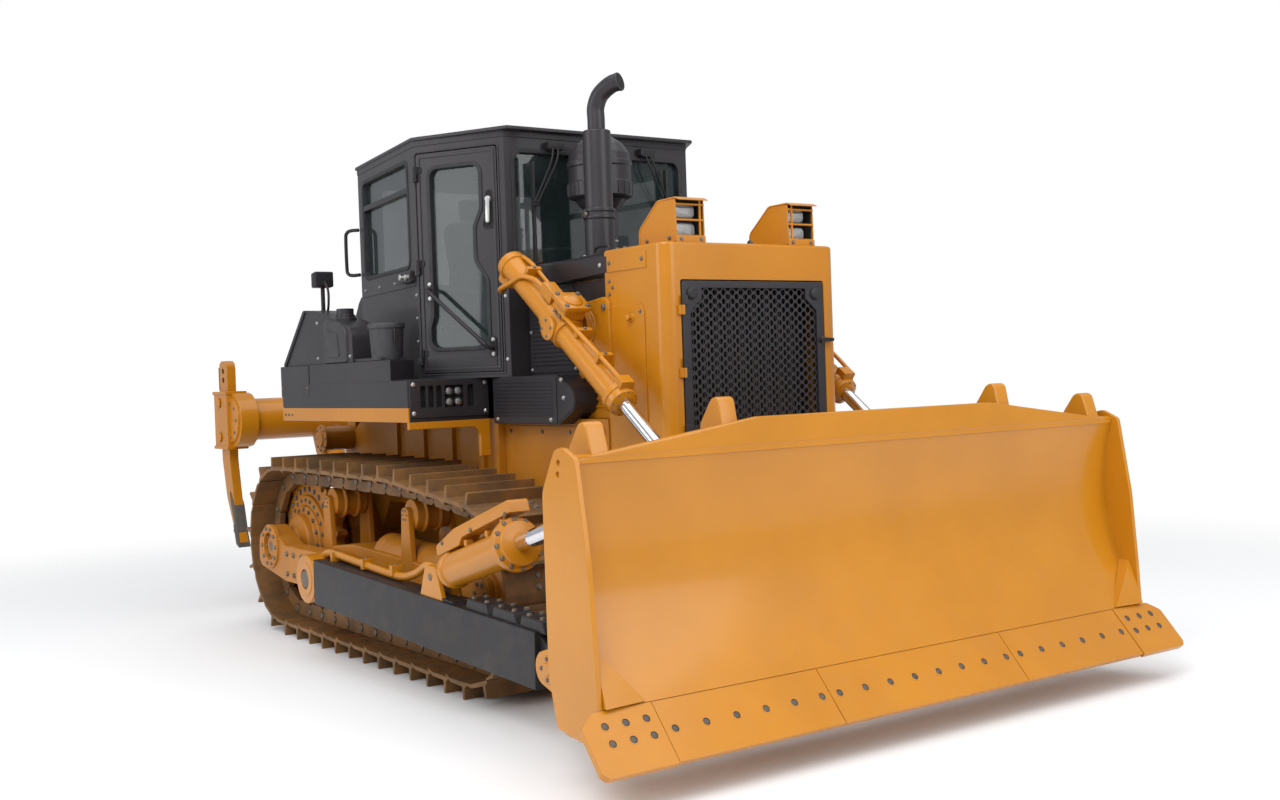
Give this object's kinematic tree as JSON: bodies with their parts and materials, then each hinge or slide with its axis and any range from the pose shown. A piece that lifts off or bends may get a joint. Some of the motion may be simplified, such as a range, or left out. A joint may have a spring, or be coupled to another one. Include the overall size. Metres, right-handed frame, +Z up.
{
  "type": "crawler bulldozer",
  "caption": "Crawler bulldozer with a straight tilting blade, six-sided cab with hinged doors, steel tracks and a rear shank ripper.",
  "frame": {"origin": "on the ground, under the middle of the whole machine", "axes": "+Z up, -Y towards the front (the blade), +Y towards the ripper, -X to the machine's right-hand side"},
  "size_m": [3.725, 6.6682, 3.4017],
  "materials": {
    "yellow_paint": "gloss",
    "chassis_paint": "satin",
    "graphite_paint": "satin",
    "track_steel": "worn",
    "chrome": "polished",
    "black_trim": "matte",
    "window_glass": "clear",
    "seat_vinyl": "matte"
  },
  "bodies": {
    "tractor": {"battery_box": "graphite_paint", "cab_roof": "graphite_paint", "cab_shell": "graphite_paint", "control_console": "black_trim", "cowl": "graphite_paint", "engine_block": "chassis_paint", "engine_panel_left": "yellow_paint", "engine_panel_right": "yellow_paint", "equalizer_bar": "chassis_paint", "exhaust_stack": "graphite_paint", "fender_left": "graphite_paint", "fender_right": "graphite_paint", "final_drive_left": "chassis_paint", "final_drive_right": "chassis_paint", "fuel_tank": "graphite_paint", "headlamp_left": "yellow_paint", "headlamp_right": "yellow_paint", "hood": "graphite_paint", "hull": "chassis_paint", "hydraulic_tank": "graphite_paint", "idler_left": "chassis_paint", "idler_right": "chassis_paint", "operator_seat": "seat_vinyl", "precleaner": "graphite_paint", "radiator_core": "black_trim", "radiator_guard": "yellow_paint", "rear_glass": "window_glass", "side_glass_left": "window_glass", "side_glass_right": "window_glass", "sprocket_left": "chassis_paint", "sprocket_right": "chassis_paint", "track_frame_left": "chassis_paint", "track_frame_right": "chassis_paint", "track_left": "track_steel", "track_right": "track_steel", "windshield": "window_glass"},
    "cab_door_right": {"cab_door_right": "graphite_paint", "door_glass_right": "window_glass"},
    "cab_door_left": {"cab_door_left": "graphite_paint", "door_glass_left": "window_glass"},
    "grille_door": {"grille_door": "graphite_paint"},
    "push_arm_left": {"push_arm_left": "graphite_paint"},
    "push_arm_right": {"push_arm_right": "graphite_paint"},
    "blade": {"blade": "yellow_paint", "cutting_edges": "yellow_paint"},
    "tilt_barrel": {"tilt_barrel": "yellow_paint"},
    "tilt_rod": {"tilt_rod": "chrome"},
    "brace_left": {"brace_left": "yellow_paint"},
    "lift_barrel_right": {"lift_barrel_right": "yellow_paint"},
    "lift_barrel_left": {"lift_barrel_left": "yellow_paint"},
    "lift_rod_right": {"lift_rod_right": "chrome"},
    "lift_rod_left": {"lift_rod_left": "chrome"},
    "ripper_lower_link": {"ripper_lower_link": "yellow_paint"},
    "ripper_upper_link": {"ripper_upper_link": "yellow_paint"},
    "ripper_beam": {"ripper_beam": "yellow_paint"},
    "ripper_barrel_right": {"ripper_barrel_right": "yellow_paint"},
    "ripper_barrel_left": {"ripper_barrel_left": "yellow_paint"},
    "ripper_rod_right": {"ripper_rod_right": "chrome"},
    "ripper_rod_left": {"ripper_rod_left": "chrome"}
  },
  "joints": [
    {"name": "blade_lift", "type": "hinge", "parent": "tractor", "child": "push_arm_left", "pos_m": [0, 0.60413, 0.508], "axis": [-1, 0, 0], "range_deg": [-10.55, 15.18]},
    {"name": "blade_tilt", "type": "hinge", "parent": "push_arm_left", "child": "blade", "pos_m": [1.414, -2.35587, 0.4], "axis": [0, 1, 0], "range_deg": [-5.7, 5.7]},
    {"name": "arm_right_swing", "type": "hinge", "parent": "push_arm_left", "child": "push_arm_right", "pos_m": [-1.414, 0.60413, 0.508], "axis": [-1, 0, 0], "range_deg": [-5.75, 5.75]},
    {"name": "tilt_barrel_swing", "type": "hinge", "parent": "push_arm_right", "child": "tilt_barrel", "pos_m": [-1.414, -1.11087, 0.69], "axis": [0.558, 0.2253, 0.7987], "range_deg": [-3.36, 3.36]},
    {"name": "tilt_rod_slide", "type": "slide", "parent": "tilt_barrel", "child": "tilt_rod", "axis": [0, -0.9624, 0.2715], "range_m": [-0.05002, 0.05002]},
    {"name": "brace_left_swing", "type": "hinge", "parent": "push_arm_left", "child": "brace_left", "pos_m": [1.414, -1.11087, 0.69], "axis": [0, 0.2715, 0.9624], "range_deg": [-2.84, 2.84]},
    {"name": "lift_barrel_right_swing", "type": "hinge", "parent": "tractor", "child": "lift_barrel_right", "pos_m": [-0.76, -1.36587, 1.979], "axis": [-1, 0, 0], "range_deg": [-16.86, 24.13]},
    {"name": "lift_rod_right_slide", "type": "slide", "parent": "lift_barrel_right", "child": "lift_rod_right", "axis": [0, -0.8061, -0.5918], "range_m": [-0.59106, 0.41175]},
    {"name": "lift_barrel_left_swing", "type": "hinge", "parent": "tractor", "child": "lift_barrel_left", "pos_m": [0.76, -1.36587, 1.979], "axis": [-1, 0, 0], "range_deg": [-16.86, 24.13]},
    {"name": "lift_rod_left_slide", "type": "slide", "parent": "lift_barrel_left", "child": "lift_rod_left", "axis": [0, -0.8061, -0.5918], "range_m": [-0.59106, 0.41175]},
    {"name": "ripper_lift", "type": "hinge", "parent": "tractor", "child": "ripper_lower_link", "pos_m": [0, 2.08913, 0.76], "axis": [1, 0, 0], "range_deg": [-73.64, 0]},
    {"name": "ripper_beam_level", "type": "hinge", "parent": "ripper_lower_link", "child": "ripper_beam", "pos_m": [0, 2.94913, 1.215], "axis": [1, 0, 0], "range_deg": [-0.3, 73.94]},
    {"name": "ripper_upper_swing", "type": "hinge", "parent": "tractor", "child": "ripper_upper_link", "pos_m": [0, 2.08913, 1.24], "axis": [1, 0, 0], "range_deg": [-73.94, 0.3]},
    {"name": "ripper_barrel_right_swing", "type": "hinge", "parent": "tractor", "child": "ripper_barrel_right", "pos_m": [-0.2, 2.08913, 1.24], "axis": [1, 0, 0], "range_deg": [-59.95, 0.3]},
    {"name": "ripper_rod_right_slide", "type": "slide", "parent": "ripper_barrel_right", "child": "ripper_rod_right", "axis": [0, 0.9996, -0.0291], "range_m": [-0.003, 0.52995]},
    {"name": "ripper_barrel_left_swing", "type": "hinge", "parent": "tractor", "child": "ripper_barrel_left", "pos_m": [0.2, 2.08913, 1.24], "axis": [1, 0, 0], "range_deg": [-59.95, 0.3]},
    {"name": "ripper_rod_left_slide", "type": "slide", "parent": "ripper_barrel_left", "child": "ripper_rod_left", "axis": [0, 0.9996, -0.0291], "range_m": [-0.003, 0.52995]},
    {"name": "door_right", "type": "hinge", "parent": "tractor", "child": "cab_door_right", "pos_m": [-0.9809, -0.10233, 2.4], "axis": [0, 0, -1], "range_deg": [0, 90]},
    {"name": "door_left", "type": "hinge", "parent": "tractor", "child": "cab_door_left", "pos_m": [0.9809, -0.10233, 2.4], "axis": [0, 0, 1], "range_deg": [0, 90]},
    {"name": "grille_door", "type": "hinge", "parent": "tractor", "child": "grille_door", "pos_m": [-0.484, -2.08287, 1.7], "axis": [0, 0, 1], "range_deg": [-45, 0]}
  ],
  "couplings": [
    {"joint": "arm_right_swing", "follows": "blade_tilt", "ratio": 0.9554},
    {"joint": "tilt_barrel_swing", "follows": "blade_tilt", "ratio": 0.53719},
    {"joint": "tilt_rod_slide", "follows": "blade_tilt", "m_per_rad": 0.48267},
    {"joint": "brace_left_swing", "follows": "blade_tilt", "ratio": 0.44578},
    {"joint": "lift_barrel_right_swing", "follows": "blade_lift", "ratio": 1.57},
    {"joint": "lift_rod_right_slide", "follows": "blade_lift", "m_per_rad": -2.22},
    {"joint": "lift_barrel_left_swing", "follows": "blade_lift", "ratio": 1.57},
    {"joint": "lift_rod_left_slide", "follows": "blade_lift", "m_per_rad": -2.22},
    {"joint": "ripper_beam_level", "follows": "ripper_lift", "ratio": -1},
    {"joint": "ripper_upper_swing", "follows": "ripper_lift", "ratio": 1},
    {"joint": "ripper_barrel_right_swing", "follows": "ripper_lift", "ratio": 0.81},
    {"joint": "ripper_rod_right_slide", "follows": "ripper_lift", "m_per_rad": -0.41},
    {"joint": "ripper_barrel_left_swing", "follows": "ripper_lift", "ratio": 0.81},
    {"joint": "ripper_rod_left_slide", "follows": "ripper_lift", "m_per_rad": -0.41}
  ]
}
